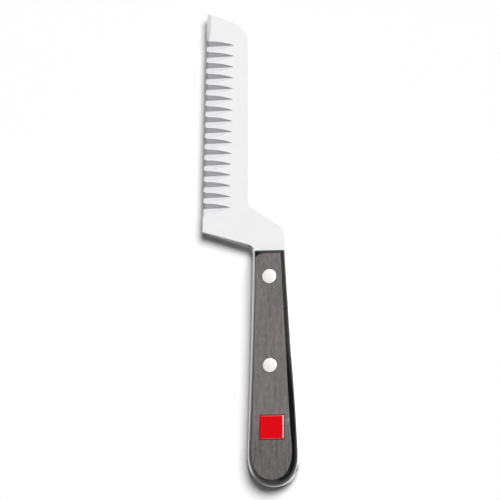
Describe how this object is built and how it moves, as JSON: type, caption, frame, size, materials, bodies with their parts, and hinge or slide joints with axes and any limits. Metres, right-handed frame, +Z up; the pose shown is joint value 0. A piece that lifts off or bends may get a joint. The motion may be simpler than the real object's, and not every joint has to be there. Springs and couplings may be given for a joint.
{
  "type": "crinkle knife",
  "caption": "Crinkle-cutting kitchen knife: a fluted steel blade on an offset neck, a full tang, and a riveted black handle with a plain red inlay.",
  "frame": {"origin": "midway between the two rivets, on the flat face of the lower handle scale that the knife lies on", "axes": "+Y from the butt to the tip, along the spine; +X from the cutting edge towards the spine; +Z up, square to the blade"},
  "size_m": [0.0501, 0.2406, 0.0132],
  "materials": {
    "blade_steel": "satin",
    "handle_plastic": "satin, with fine lengthwise sanding lines on the flat faces",
    "rivet_steel": "polished",
    "badge_red": "gloss"
  },
  "bodies": {
    "root": {"blade": "blade_steel", "upper_scale": "handle_plastic", "lower_scale": "handle_plastic", "front_rivet_socket": "rivet_steel", "front_rivet_pin": "rivet_steel", "rear_rivet_socket": "rivet_steel", "rear_rivet_pin": "rivet_steel", "badge": "badge_red"}
  },
  "joints": []
}
